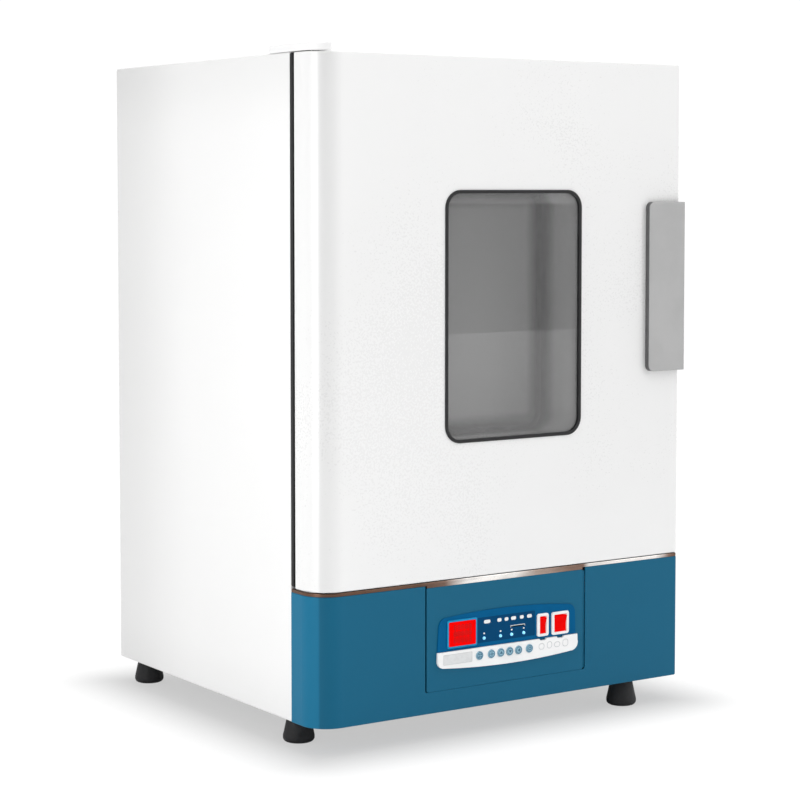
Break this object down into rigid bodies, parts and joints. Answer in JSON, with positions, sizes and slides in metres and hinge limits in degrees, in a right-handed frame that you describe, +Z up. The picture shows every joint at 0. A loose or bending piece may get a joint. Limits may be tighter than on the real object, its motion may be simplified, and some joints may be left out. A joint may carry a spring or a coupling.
{
  "type": "hot air drying oven",
  "caption": "Bench drying oven: insulated cabinet with a left-hinged door and window, fan-stirred steel chamber, wire shelves, and a blue control panel with display, keys and rocker switches.",
  "frame": {"origin": "centre of the bounding box in plan, on the floor under the feet", "axes": "+Z up, -Y out of the door's face, +X to the right as one faces the door"},
  "size_m": [0.552, 0.558, 0.833],
  "materials": {
    "grey_enamel": "satin",
    "blue_enamel": "satin",
    "blue_print": "satin",
    "plated_steel": "satin",
    "stainless": "satin",
    "bright_steel": "polished",
    "mineral_wool": "matte",
    "aluminium": "satin",
    "grey_plastic": "satin",
    "dark_plastic": "satin",
    "white_plastic": "satin",
    "red_plastic": "gloss",
    "red_lens": "gloss",
    "blue_led": "gloss",
    "black_rubber": "matte",
    "silicone": "matte",
    "window_glass": "gloss",
    "green_board": "satin",
    "sheathed_wire": "matte",
    "motor_steel": "satin",
    "magnet_ferrite": "matte"
  },
  "bodies": {
    "cabinet": {"outer_casing": "grey_enamel", "rear_panel": "grey_enamel", "base_pan": "plated_steel", "chamber_deck": "plated_steel", "front_frame": "grey_enamel", "chamber_liner": "stainless", "cabinet_insulation": "mineral_wool", "air_baffle": "stainless", "fan_motor": "motor_steel", "motor_cover": "grey_enamel", "heater_elements": "motor_steel", "exhaust_pipe": "stainless", "temperature_probe": "bright_steel", "shelf_rails": "stainless", "top_hinge_bracket": "plated_steel", "bottom_hinge_bracket": "plated_steel", "hinge_pins": "bright_steel", "hinge_cap": "grey_enamel", "catch_plates": "plated_steel", "cabinet_screws": "bright_steel", "feet": "black_rubber", "lower_front_panel": "blue_enamel", "control_fascia": "blue_enamel", "trim_strip": "bright_steel", "display_panel": "blue_print", "key_strip": "white_plastic", "display_lens": "red_lens", "indicator_leds": "blue_led", "switch_bezels": "white_plastic", "controller_board": "green_board", "heater_relay": "dark_plastic", "power_inlet": "dark_plastic", "wiring_harness": "sheathed_wire"},
    "door": {"door_skin": "grey_enamel", "handle_cup": "grey_plastic", "door_handle": "grey_plastic", "door_inner_panel": "stainless", "door_insulation": "mineral_wool", "window_tunnel": "stainless", "outer_glass": "window_glass", "inner_glass": "window_glass", "window_gasket": "black_rubber", "door_seal": "silicone", "catch_magnets": "magnet_ferrite", "hinge_bushes": "dark_plastic", "door_screws": "bright_steel"},
    "fan": {"fan_shaft": "bright_steel", "fan_impeller": "aluminium"},
    "damper": {"exhaust_damper": "stainless"},
    "small_rocker": {"small_rocker": "red_plastic"},
    "large_rocker": {"large_rocker": "red_plastic"},
    "shelf_upper": {"wire_shelf_upper": "bright_steel"},
    "shelf_lower": {"wire_shelf_lower": "bright_steel"},
    "key_1": {"key_1": "grey_plastic"},
    "key_2": {"key_2": "grey_plastic"},
    "key_3": {"key_3": "grey_plastic"},
    "key_4": {"key_4": "grey_plastic"},
    "key_5": {"key_5": "grey_plastic"},
    "key_6": {"key_6": "grey_plastic"}
  },
  "joints": [
    {"name": "door_hinge", "type": "hinge", "parent": "cabinet", "child": "door", "pos_m": [-0.264, -0.245, 0.5107], "axis": [0, 0, -1], "range_deg": [0, 115]},
    {"name": "fan_spin", "type": "hinge", "parent": "cabinet", "child": "fan", "pos_m": [-0.001, 0.149, 0.511], "axis": [0, 1, 0], "continuous": true},
    {"name": "damper_turn", "type": "hinge", "parent": "cabinet", "child": "damper", "pos_m": [-0.001, 0.245, 0.688], "axis": [-1, 0, 0], "range_deg": [0, 90]},
    {"name": "small_switch", "type": "hinge", "parent": "cabinet", "child": "small_rocker", "pos_m": [0.0525, -0.267, 0.1234], "axis": [-1, 0, 0], "range_deg": [0, 16]},
    {"name": "large_switch", "type": "hinge", "parent": "cabinet", "child": "large_rocker", "pos_m": [0.0798, -0.267, 0.123], "axis": [-1, 0, 0], "range_deg": [0, 16]},
    {"name": "upper_shelf_slide", "type": "slide", "parent": "cabinet", "child": "shelf_upper", "axis": [0, -1, 0], "range_m": [0, 0.012]},
    {"name": "lower_shelf_slide", "type": "slide", "parent": "cabinet", "child": "shelf_lower", "axis": [0, -1, 0], "range_m": [0, 0.012]},
    {"name": "key_1_press", "type": "slide", "parent": "cabinet", "child": "key_1", "axis": [0, 1, 0], "range_m": [0, 0.0005], "stiffness_N_per_m": 600, "springref_m": -0.002},
    {"name": "key_2_press", "type": "slide", "parent": "cabinet", "child": "key_2", "axis": [0, 1, 0], "range_m": [0, 0.0005], "stiffness_N_per_m": 600, "springref_m": -0.002},
    {"name": "key_3_press", "type": "slide", "parent": "cabinet", "child": "key_3", "axis": [0, 1, 0], "range_m": [0, 0.0005], "stiffness_N_per_m": 600, "springref_m": -0.002},
    {"name": "key_4_press", "type": "slide", "parent": "cabinet", "child": "key_4", "axis": [0, 1, 0], "range_m": [0, 0.0005], "stiffness_N_per_m": 600, "springref_m": -0.002},
    {"name": "key_5_press", "type": "slide", "parent": "cabinet", "child": "key_5", "axis": [0, 1, 0], "range_m": [0, 0.0005], "stiffness_N_per_m": 600, "springref_m": -0.002},
    {"name": "key_6_press", "type": "slide", "parent": "cabinet", "child": "key_6", "axis": [0, 1, 0], "range_m": [0, 0.0005], "stiffness_N_per_m": 600, "springref_m": -0.002}
  ]
}
